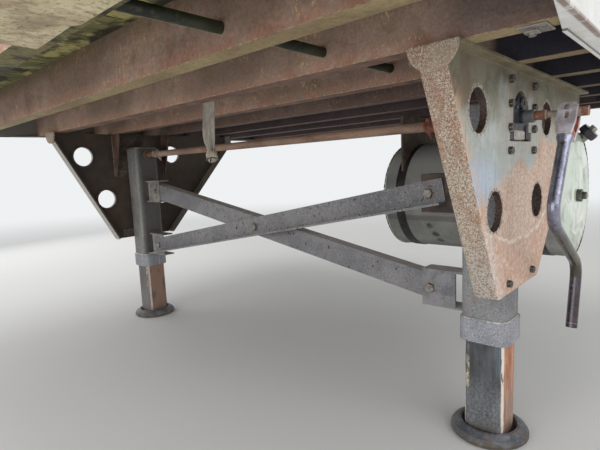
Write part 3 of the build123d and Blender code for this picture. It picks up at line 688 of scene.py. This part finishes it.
def crank_dark():
    s = Shader("crank_dark")
    mid = s.noise(28, 4, 0.62, (1, 1, 0.5))
    # the grip's upper part as metal, tinted blue-violet: a painted sky reflection
    steel = s.layers(
        s.blend(mid, (112, 110, 126), (150, 150, 168), 0.36),
        (s.cloud(110, 0.42, 0.34, 3, 0.7, seed=7), 0.6, (58, 52, 62)))
    upper = s.ramp(s.z, -0.58, -0.515)
    # the groove and rim next to the end of the grip, which leans, are paint only: painted shade in the
    # groove and a painted highlight on the rim
    from_end = s.plus((s.z, 0.971), (s.x, -0.238), 0.7942)
    colour = s.layers(
        s.blend(mid, (36, 31, 40), (60, 54, 70), 0.4, 0.64),
        # painted highlight: pale violet specks
        (s.cloud(120, 0.6, 0.7, 3, 0.7, seed=2), 0.6, (124, 116, 138)),
        # painted reflection: an olive tint round the bend
        (s.band(s.z, -0.70, -0.54, 0.03), s.cloud(18, 0.3, 0.55, seed=3), 0.75, (80, 76, 44)),
        ((s.z, -0.70, -0.76), s.cloud(40, 0.4, 0.6, 4, seed=4), 0.3, (92, 62, 54)),
        (upper, steel),
        (s.band(from_end, 0.0085, 0.0105, 0.0006), 0.9, (20, 16, 20)),
        (s.band(from_end, 0.0108, 0.0125, 0.0005), 0.6, (150, 142, 158)))
    rough = s.span(s.noise(60, 3, 0.6, seed=5), 0.16, 0.38)
    metal = s.span(upper, 0.2, 0.85)
    return s.done(colour, rough, s.noise(120, 4, 0.65, seed=6), 0.0006, 0.5, metal, coat=0.3)


def clevis_grey():
    s = Shader("clevis_grey")
    edge = s.edges(0.002)
    mid = s.noise(34, 4, 0.62)
    # the gap between the ears is red; across is the way through them, square to the leaning crank
    across = s.plus((s.x, cos(LEAN)), (s.plus(s.z, -SHAFT_Z), sin(LEAN)))
    red = s.blend(s.noise(70, seed=2), (150, 70, 56), (184, 104, 84), 0.4, 0.6)
    colour = s.layers(
        s.blend(mid, (160, 154, 160), (206, 200, 206)),
        ((s.size(across), 0.0135, 0.0131), red),
        (s.cloud(26, 0.57, 0.7, 4, 0.65, seed=4), 0.5, (146, 104, 88)),
        (edge, 0.85, (234, 226, 222)))
    return s.done(s.grain(colour, 0.16, 300), s.span(mid, 0.36, 0.62), s.noise(120, 4, seed=3), metal=0.25)


# Tank


def tank_grey():
    s = Shader("tank_grey")
    big = s.noise(5, seed=1)
    dents = s.most(*[s.spot(x, y, z, r * 0.35, r) for x, y, z, r in TANK_DENTS])
    seam = s.times(s.band(s.x, -0.668, -0.658, 0.0015), (s.z, -0.5, -0.52))
    colour = s.layers(
        s.blend(big, (138, 139, 136), (162, 162, 158), 0.36, 0.64),
        (s.cloud(44, 0.52, 0.7, 3, 0.6, (1, 1, 0.12), seed=2), 0.3, (112, 108, 98)),
        (s.cloud(30, 0.58, 0.7, 4, 0.6, seed=3), 0.4, (182, 180, 170)),
        (dents, s.cloud(60, 0.3, 0.5, seed=4), 0.85, (58, 54, 46)),
        # a dark belly and a pale top
        ((s.z, -0.74, -0.8), 0.65, (70, 66, 60)),
        ((s.z, -0.48, -0.36), 0.85, (206, 207, 205)),
        (seam, 0.5, (96, 92, 84)))
    height = s.plus((s.noise(14, 2, seed=6), 1.5), (dents, -2.5),
                    (s.noise(160, seed=7), 0.25))
    return s.done(s.grain(colour, 0.07, 300), s.span(big, 0.42, 0.62), height, 0.0022, 0.6, metal=0.3)


def tank_cap_pale():
    s = Shader("tank_cap_pale")
    edge = s.edges(0.003)
    big = s.noise(6, 4, 0.6, seed=1, warp=0.6)
    colour = s.layers(
        s.blend(big, (216, 228, 212), (244, 249, 240)),
        (s.cloud(40, 0.52, 0.68, 3, 0.6, (1, 1, 0.1), seed=2), 0.35, (150, 158, 136)),
        (s.cloud(11, 0.54, 0.64, 4, 0.6, seed=3, warp=0.8), 0.4, (142, 148, 140)),
        ((s.z, -0.66, -0.8), s.cloud(14, 0.3, 0.6, seed=4), 0.55, (112, 112, 96)),
        (edge, 0.5, (122, 124, 116)))
    height = s.plus((s.noise(9, 2, seed=5), 1.2), (s.noise(150, seed=6), 0.3))
    return s.done(s.grain(colour, 0.05, 260), s.span(big, 0.22, 0.45), height, 0.0014, 0.6, metal=0.35)


# Small hardware


def plain_worn(name, dark, light, glow, rough, metal=0.0, scale=26, relief=0.001, coat=0.0):
    """Worn single-colour finish with grain, darker dirt and rubbed edges."""
    s = Shader(name)
    edge = s.edges(0.0015)
    mid = s.noise(scale, 4, 0.62)
    colour = s.layers(
        s.blend(mid, dark, light),
        (s.cloud(scale * 4, 0.58, 0.68, 3, 0.65, seed=2), 0.5, glow),
        (edge, 0.8, glow))
    height = s.noise(150, 4, 0.65, seed=3)
    colour = s.grain(colour, 0.14)
    return s.done(colour, s.span(mid, rough - 0.1, rough + 0.12), height, relief, 0.7, metal, coat)


def weld_bead():
    """Brown beads of weld, pale ones round the collars."""
    s = Shader("weld_bead")
    mid = s.noise(70, 4, 0.62)
    brown = s.blend(mid, (104, 92, 82), (150, 136, 122))
    bright = s.blend(mid, (150, 150, 152), (206, 204, 202))
    colour = s.grain(s.mix(s.ramp(s.z, -0.79, -0.81), brown, bright))
    return s.done(colour, s.span(mid, 0.5, 0.75), s.noise(150, 4, seed=3), 0.0014, metal=0.2)


def webbing(name, dark, light):
    """Polyester strap: ribs along it, fine cross weave, frayed pale fibres and dirt."""
    s = Shader(name)
    weave = s.times(s.math("SINE", s.times(s.y, 1500.0)), s.math("SINE", s.times(s.z, 3300.0)))
    fibre = s.noise(520, 3, 0.7, (1, 1, 0.05), seed=1)
    colour = s.layers(
        s.blend(s.noise(26, 3, 0.6, (1, 1, 0.4), seed=2), dark, light, 0.36, 0.64),
        ((fibre, 0.56, 0.68), 0.7, (196, 190, 174)),
        ((fibre, 0.44, 0.34), 0.6, (66, 62, 58)),
        (s.cloud(18, 0.54, 0.68, 4, 0.6, (1, 1, 0.25), seed=3), 0.45, (108, 88, 68)))
    colour = s.shade(colour, s.plus((weave, 0.07), 1.0))
    return s.done(colour, 0.92, s.plus((weave, 0.5), fibre), 0.0007, 0.8, specular=0.25)


DARK_BOLT = plain_worn("bolt_dark", (52, 48, 46), (82, 76, 72), (214, 206, 196), 0.55, 0.3, 60)
GREY_BOLT = plain_worn("bolt_grey", (112, 104, 100), (150, 142, 136), (206, 196, 186), 0.5, 0.35, 60)
RUST_BOLT = coupling_rust()
PALE_BOLT = plain_worn("bolt_pale", (150, 144, 134), (190, 184, 172), (232, 226, 214), 0.42, 0.4, 60)
MOUNT = plain_worn("mount_plate", (70, 62, 56), (104, 92, 82), (150, 134, 118), 0.75, scale=20)
SOOT = plain_worn("tank_strap_dark", (38, 36, 36), (58, 56, 54), (100, 97, 92), 0.5, 0.2)
CAP_BLACK = plain_worn("filler_black", (28, 26, 30), (44, 41, 48), (112, 104, 124), 0.3, 0.1, coat=0.3)
# the front brace, with painted shade on its upper faces
FRONT_BRACE = brace_grey("brace_grey", (100, 94, 96))

# A node on the right that isn't listed has the finish of its twin on the left
FINISH = {
    "crossmembers": rusty_beam(),
    "floor_boards": deck_board(),
    "side_rail_left": rail_white(),
    "conduit": conduit_dark(),
    "coupler_plates": coupler_beige(),
    "wing_plate_left": wing_galvanised(),
    "flange_caps": cap_plate(),
    "wing_gussets": gusset_red(),
    "leg_mount_plates": MOUNT,
    "leg_housing_left": leg_paint("leg_near", (112, 113, 116), (142, 142, 144), (178, 176, 176), 0.5),
    # the far leg, with painted shade on its inner side
    "leg_housing_right": leg_paint("leg_far", (100, 99, 98), (146, 144, 141), (200, 198, 194), 0.38, 0.7),
    "housing_caps": MOUNT,
    "housing_collars": leg_paint("collar_grey", (130, 132, 140), (160, 161, 168), (204, 202, 204), 0.45),
    "leg_tube_left": inner_tube(),
    "sand_shoe_left": shoe_dark(),
    "brace_front": FRONT_BRACE,
    # the rear brace, with painted light on its upper faces
    "brace_rear": brace_grey("brace_grey_rear", (222, 218, 218)),
    "brace_spacer": FRONT_BRACE,
    "brace_brackets_left": bracket_worn(),
    "brace_brackets_right": plain_worn("bracket_pale", (112, 108, 104), (146, 142, 136),
                                       (190, 184, 176), 0.6),
    "gearbox_case": gear_dark(),
    "shaft_bosses": plain_worn("boss_dark", (78, 70, 66), (112, 98, 90), (160, 140, 122), 0.65, 0.15),
    "output_shaft": shaft_rust("shaft_rust", True),
    "crank_clevis": clevis_grey(),
    "clevis_pin": GREY_BOLT,
    "crank_handle": crank_dark(),
    "cross_shaft_tube": cross_tube(),
    "shaft_stubs": shaft_rust("stub_rust", False),
    "shaft_couplings": RUST_BOLT,
    "tank_body": tank_grey(),
    "tank_end_caps": tank_cap_pale(),
    "tank_end_fitting": plain_worn("fitting_dark", (62, 64, 60), (96, 96, 90), (196, 196, 186), 0.42, 0.4),
    "tank_filler_neck": plain_worn("neck_olive", (136, 138, 112), (164, 164, 140),
                                   (204, 202, 180), 0.5, 0.2),
    "tank_filler_cap": CAP_BLACK,
    "tank_straps": SOOT,
    "tank_saddles": plain_worn("saddle_brown", (80, 69, 60), (112, 97, 84),
                               (150, 132, 114), 0.78, relief=0.0015),
    "hanging_strap": SOOT,
}
for node_name, node in NODES.items():
    listed = node_name if node_name in FINISH else node_name.replace("_right", "_left")
    for slot in node.material_slots:
        slot.material = FINISH[listed]


# Mesh helpers


def turns(count):
    """The angles of a full turn in equal steps."""
    return [2 * pi * k / count for k in range(count)]


def aimed(centre, axis, spin=0.0):
    """A matrix whose Z points along axis, at centre."""
    turn = Vector(axis).to_track_quat("Z", "Y").to_matrix().to_4x4()
    return Matrix.Translation(Vector(centre)) @ turn @ Matrix.Rotation(spin, 4, "Z")


def skin(bm, loops):
    """Faces between each closed loop of points and the next."""
    for low, high in zip(loops, loops[1:]):
        for corners in zip(low, low[1:] + low[:1], high[1:] + high[:1], high):
            bm.faces.new(corners)


def lathe(bm, rings, matrix, sides):
    """Rings of (radius, height) round the matrix's Z, joined in turn and closed at the last."""
    loops = [[bm.verts.new(matrix @ Vector((radius * cos(a), radius * sin(a), height)))
              for a in turns(sides)] for radius, height in rings]
    skin(bm, loops)
    bm.faces.new(loops[-1])


def bolt(bm, centre, axis, across, height, spin, washer=0.0, stud=0.0):
    """A hex head or nut, with a washer so many times its width, and so much of a thread past it."""
    matrix = aimed(centre, axis, spin)
    base = 0.0
    if washer:
        base = height * 0.16
        r = across / 2 * washer
        lathe(bm, [(r, -0.0005), (r, base * 0.7), (r * 0.95, base)], matrix, 20)
    r = across / 2 / cos(pi / 6)
    lathe(bm, [(r, base), (r, base + height * 0.78), (r * 0.86, base + height)], matrix, 6)
    if stud:
        r = across * 0.28
        top = base + height + stud
        lathe(bm, [(r, base + height * 0.9), (r, top - r * 0.3), (r * 0.75, top)], matrix, 12)


def block(bm, low, high, chamfer=0.0, matrix=Matrix()):
    """A block between two corners, bevelled if a chamfer is given."""
    low, high = Vector(low), Vector(high)
    verts = bmesh.ops.create_cube(bm, size=1.0)["verts"]
    for vert in verts:
        vert.co = matrix @ ((low + high) / 2 + vert.co * (high - low))
    if chamfer:
        edges = list({e for v in verts for e in v.link_edges})
        bmesh.ops.bevel(bm, geom=edges, offset=chamfer, segments=2, affect="EDGES")


def weld(bm, points, radius, seed, closed=False, step=0.004):
    """A bead of weld along a run of points, with ripples and an uneven width."""
    line = [Vector(p) for p in points]
    if closed:
        line.append(line[0])
    path = []
    for a, b in zip(line, line[1:]):
        count = max(1, round((b - a).length / step))
        path += [a.lerp(b, i / count) for i in range(count)]
    if not closed:
        path.append(line[-1])
    loops = []
    total = len(path)
    for i, p in enumerate(path):
        ahead = path[(i + 1) % total] if closed else path[min(i + 1, total - 1)]
        behind = path[i - 1] if closed or i else path[0]
        along = (ahead - behind).normalized()
        side = along.cross(Vector((0.31, 0.52, 0.79))).normalized()
        other = along.cross(side)
        swell = 1 + 0.22 * sin(i * 1.9 + seed) + 0.25 * noise.noise(p * 60 + Vector((seed, 0, 0)))
        r = radius * swell * (0.55 if not closed and i in (0, total - 1) else 1.0)
        loops.append([bm.verts.new(p + (side * cos(a) + other * sin(a)) * r) for a in turns(6)])
    if closed:
        skin(bm, loops + loops[:1])
    else:
        skin(bm, loops)
        bm.faces.new(loops[0][::-1])
        bm.faces.new(loops[-1])


def rounded_square(y, z, half, rounding):
    """Points round a leg's square with rounded corners, at height z."""
    steps = 5
    out = []
    for quarter in range(4):
        cx = (half - rounding) * (1 if quarter in (0, 3) else -1)
        cy = y + (half - rounding) * (1 if quarter in (0, 1) else -1)
        for k in range(steps + 1):
            a = pi / 2 * quarter + pi / 2 * k / steps
            out.append((cx + rounding * cos(a), cy + rounding * sin(a), z))
    return out


def added(name, data):
    """A new object of the scene."""
    made = bpy.data.objects.new(name, data)
    bpy.context.scene.collection.objects.link(made)
    return made


def mesh_object(name, bm, material):
    mesh = bpy.data.meshes.new(name)
    bm.to_mesh(mesh)
    bm.free()
    mesh.materials.append(material)
    return added(name, mesh)


def piece(name, bm, material, body="underframe"):
    """A piece of the object that rides on a body, shaded smooth over shallow corners."""
    bmesh.ops.recalc_face_normals(bm, faces=bm.faces)
    made = mesh_object(name, bm, material)
    made.data.shade_smooth()
    made.data.set_sharp_from_angle(angle=radians(38))
    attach(made, body)
    return made


# Bolts: x and z on the wing plate; y, z and the front face at each end and at the crossing of the braces

WING_BOLTS = [(x, z) for x in (0.092, -0.092) for z in (-0.194, -0.250, -0.306, -0.362)]
WING_BOLTS += [(0.090, -0.694), (-0.100, -0.694)]
BRACE_BOLTS = [(BRACE_Y, BRACE_HIGH, 0.032), (-BRACE_Y, BRACE_LOW, 0.032), (0.0, BRACE_MID, 0.032),
               (BRACE_Y, BRACE_LOW, 0.026), (-BRACE_Y, BRACE_HIGH, 0.026)]
for side, side_name in ((1, "left"), (-1, "right")):
    bm = bmesh.new()
    for x, z in WING_BOLTS:
        bolt(bm, (x, side * PLATE_OUT, z), (0, side, 0), 0.018, 0.0105, random.uniform(0, 1))
    piece("wing_bolts_" + side_name, bm, DARK_BOLT)

bm = bmesh.new()
for y, z, front in BRACE_BOLTS:
    across, washer = (0.026, 1.3) if y else (0.027, 1.35)
    bolt(bm, (front, y, z), (1, 0, 0), across, 0.011, random.uniform(0, 1), washer)
    back = 0.020 if front > 0.03 and y else 0.014
    bolt(bm, (back, y, z), (-1, 0, 0), 0.024, 0.011, random.uniform(0, 1), 1.3, 0.008)
piece("brace_bolts", bm, GREY_BOLT)

bm = bmesh.new()
for side in (1, -1):
    for along, spin in ((0.757, 0.3), (0.783, 0.9)):
        axis = Vector((sin(spin), 0, cos(spin)))
        centre = Vector((0, side * along, SHAFT_Z))
        bolt(bm, centre + axis * 0.016, axis, 0.015, 0.008, 0.2, 1.2)
        bolt(bm, centre - axis * 0.016, -axis, 0.015, 0.009, 0.5, 1.2, 0.009)
piece("coupling_bolts", bm, RUST_BOLT, "cross_shaft")

# Welds: round the legs, down the mounting plates, along the brackets and under the flange's upper end

BRACKET_HALF = 0.0555
bm = bmesh.new()
for side in (1, -1):
    weld(bm, rounded_square(side * LEG_Y, COLLAR_TOP, 0.0635, 0.027), 0.0028, 3 + side, True)
    weld(bm, rounded_square(side * LEG_Y, HOUSING_TOP, 0.062, 0.026), 0.003, 9 + side, True)
    for x in (0.1215, -0.1705):
        for dx in (-0.0045, 0.0045):
            weld(bm, [(x + dx, side * 1.002, -0.17), (x + dx, side * 1.002, -0.386)], 0.003, 7)
    for middle in (BRACE_HIGH, BRACE_LOW):
        for z in (middle - BRACKET_HALF, middle + BRACKET_HALF):
            weld(bm, [(-0.03, side * 0.8735, z), (0.024, side * 0.8735, z)], 0.0028, z * 50)
for side in (1, -1):
    weld(bm, [(0.4335, side * 0.9535, -0.1635), (0.4335, side * 1.01, -0.1635)], 0.003, 4)
piece("weld_beads", bm, weld_bead())

# Gearbox front: a plug above the shaft, ribs on the foot, two screws and a pale block

PLUG = [(0.019, 0), (0.019, 0.003), (0.0165, 0.0045), (0.0165, 0.0105), (0.0135, 0.0125), (0.006, 0.0125),
        (0.006, 0.010)]
RIB_PITCH, RIB_WIDTH = 0.0085, 0.0045
bm = bmesh.new()
lathe(bm, PLUG, aimed((0.0, 1.0035, -0.2445), (0, 1, 0)), 28)
for k in range(4):
    left = -0.045 - k * RIB_PITCH
    block(bm, (left, 1.001, -0.334), (left + RIB_WIDTH, 1.0105, -0.298), 0.001)
for a in (0.6, 2.5):
    bolt(bm, (0.04 * cos(a), 1.006, SHAFT_Z + 0.04 * sin(a)), (0, 1, 0), 0.011, 0.005, a)
piece("gear_face", bm, FINISH["gearbox_case"])
bm = bmesh.new()
block(bm, (-0.032, 1.0005, -0.3355), (0.044, 1.0095, -0.3115), 0.0025)
piece("gear_foot_block", bm, PALE_BOLT)

# Beam clip at the side rail

bm = bmesh.new()
block(bm, (0.356, 1.122, -0.1655), (0.414, 1.170, -0.1618), 0.001)
block(bm, (0.366, 1.128, -0.1690), (0.392, 1.150, -0.1650), 0.001)
bolt(bm, (0.379, 1.139, -0.1688), (0, 0, -1), 0.012, 0.005, 0.3, 1.3)
bolt(bm, (0.403, 1.158, -0.1655), (0, 0, -1), 0.011, 0.005, 0.8, 1.3)
piece("beam_clip", bm, GREY_BOLT)

# Filler cap's ridged grip and hex, and the welds round the tank's ends

GRIP = [(0.0345, -0.0005), (0.0362, 0.003), (0.0362, 0.024), (0.033, 0.0295), (0.020, 0.0312)]
GRIP_RIDGES = 30
bm = bmesh.new()
matrix = aimed(NECK_FOOT + NECK_AXIS * 0.092, NECK_AXIS)
lathe(bm, GRIP, matrix, 44)
for a in turns(GRIP_RIDGES):
    block(bm, (0.0335, -0.0016, 0.004), (0.0375, 0.0016, 0.023), matrix=matrix @ Matrix.Rotation(a, 4, "Z"))
piece("filler_grip", bm, CAP_BLACK)
bm = bmesh.new()
bolt(bm, NECK_FOOT + NECK_AXIS * 0.1225, NECK_AXIS, 0.030, 0.016, 0.2)
piece("filler_hex", bm, PALE_BOLT)
bm = bmesh.new()
for y in TANK_ENDS:
    ring = [(TANK_X + TANK_RADIUS * cos(a), y, TANK_Z + TANK_RADIUS * sin(a)) for a in turns(90)]
    weld(bm, ring, 0.0022, 2, True, 0.008)
piece("tank_rim_welds", bm, SOOT)

# Webbing strap with its knot and tie

WEB_X, WEB_Y = 0.3675, 0.192
WEB_TOP, WEB_LOW = -0.1625, -0.322
WEB_HALF = 0.0285
WEB_THICK = 0.0018
WEB_ROWS, WEB_COLUMNS = 70, 22
KNOT_HALF = Vector((0.0165, 0.0205, 0.0215))
KNOT_Z = -0.331


def strap_point(t, u):
    """A point of the strap. t runs down it from 0 to 1 and u across it from -1 to 1."""
    pinch = 1 - 0.42 * max(0.0, (t - 0.66) / 0.34) ** 1.6
    fold = 0.0022 * sin(u * 5.2 + t * 2.2) + 0.0016 * sin(u * 9.0 - t * 5)
    curl = 0.006 * u * u * (0.3 + t)
    x = WEB_X + 0.002 * sin(t * 3.0) + curl - 0.003 + fold * (0.4 + t * 1.4) / max(pinch, 0.5)
    y = WEB_Y + u * WEB_HALF * pinch + 0.002 * sin(t * 7)
    return x, y, WEB_TOP + (WEB_LOW - WEB_TOP) * t


bm = bmesh.new()
grid = [[bm.verts.new(strap_point(i / WEB_ROWS, j / WEB_COLUMNS * 2 - 1)) for j in range(WEB_COLUMNS + 1)]
        for i in range(WEB_ROWS + 1)]
for low, high in zip(grid, grid[1:]):
    for corners in zip(low, low[1:], high[1:], high):
        bm.faces.new(corners)
# the flat size: the widest row along its folds, and the length down one edge
across = max(sum((b.co - a.co).length for a, b in zip(row, row[1:])) for row in grid)
along = sum((b[0].co - a[0].co).length for a, b in zip(grid, grid[1:]))
strap = piece("webbing_strap", bm, webbing("webbing", (150, 144, 134), (182, 176, 166)))
thicken = strap.modifiers.new("thickness", "SOLIDIFY")
thicken.thickness = WEB_THICK
thicken.offset = 0.0
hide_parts("hanging_strap")

bm = bmesh.new()
for vert in bmesh.ops.create_uvsphere(bm, u_segments=28, v_segments=20, radius=1.0)["verts"]:
    p = vert.co.copy()
    lump = 1 + 0.22 * noise.noise(p * 2.1) + 0.12 * noise.noise(p * 5.3 + Vector((4, 1, 2)))
    vert.co = Vector((WEB_X, WEB_Y, KNOT_Z)) + p * KNOT_HALF * lump
knot = piece("strap_knot", bm, webbing("webbing_knot", (172, 162, 142), (208, 196, 174)))
bm = bmesh.new()
loop = [(WEB_X + 0.0165 * cos(a), WEB_Y + 0.0195 * sin(a), -0.3425 + 0.005 * sin(a + 0.6))
        for a in turns(26)]
weld(bm, loop, 0.0024, 2, True, 0.006)
weld(bm, [(WEB_X + 0.014, WEB_Y + 0.010, -0.340), (WEB_X + 0.017, WEB_Y + 0.014, -0.354)], 0.002, 4)
tie = piece("strap_tie", bm, CAP_BLACK)

# Stage, light and camera

world = bpy.data.worlds.new("studio")
bpy.context.scene.world = world
sky = Nodes(world)
rays = sky.node("LightPath", {}).outputs
shown = sky.most(rays["Is Camera Ray"], rays["Is Transmission Ray"], rays["Is Glossy Ray"])
soft = sky.node("Background", {"Color": (255, 255, 255), "Strength": 0.62})
pale = sky.node("Background", {"Color": PALE, "Strength": 1.0})
either = sky.node("MixShader", {0: shown, 1: soft.outputs[0], 2: pale.outputs[0]})
sky.node("OutputWorld", {"Surface": either.outputs[0]})


def floor_material():
    """A pale floor that turns into the backdrop with distance."""
    s = Shader("floor_pale")
    plain = s.node("BsdfDiffuse", {"Color": (0.72, 0.72, 0.71, 1.0)})
    glow = s.node("Emission", {"Color": PALE})
    share = s.ramp(s.length(s.x, s.y), 2.6, 9.0)
    blend = s.node("MixShader", {0: share, 1: plain.outputs[0], 2: glow.outputs[0]})
    s.node("OutputMaterial", {"Surface": blend.outputs[0]})
    return s.material


bm = bmesh.new()
bmesh.ops.create_circle(bm, cap_ends=True, radius=40.0, segments=96)
floor = mesh_object("floor", bm, floor_material())
floor.location.z = FLOOR_Z
floor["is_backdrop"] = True


def lamp(name, place, target, size, power):
    made = added(name, bpy.data.lights.new(name, "AREA"))
    made.data.shape = "RECTANGLE"
    made.data.size, made.data.size_y = size
    made.data.energy = power
    made.location = place
    made.rotation_euler = (Vector(target) - Vector(place)).to_track_quat("-Z", "Y").to_euler()


lamp("key", (1.0, 4.6, 1.1), (0.0, 0.9, -0.5), (4.5, 2.4), 58)
lamp("front", (4.4, 0.6, 0.2), (0.0, 0.0, -0.5), (4.0, 2.0), 70)
lamp("left_fill", (0.5, -4.4, 0.6), (0.0, 0.0, -0.5), (4.0, 2.0), 45)
lamp("top", (0.0, 0.0, 4.5), (0.0, 0.0, 0.0), (4.0, 4.0), 60)

# The camera's place and its own axes, fitted to the photograph
EYE = Vector((1.2546, 1.3874, -0.3789))
RIGHT = Vector((-0.67592, 0.73561, -0.04476))
UP = Vector((-0.12383, -0.05347, 0.99086))
AHEAD = Vector((-0.72650, -0.67529, -0.12723))
camera = added("camera", bpy.data.cameras.new("camera"))
camera.data.sensor_width = 36.0
camera.data.lens = 27.11
camera.data.clip_start = 0.02
camera.data.clip_end = 100.0
camera.matrix_world = Matrix.Translation(EYE) @ Matrix((RIGHT, UP, -AHEAD)).transposed().to_4x4()
bpy.context.scene.camera = camera
bpy.context.scene.view_settings.view_transform = "Standard"

low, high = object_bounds()
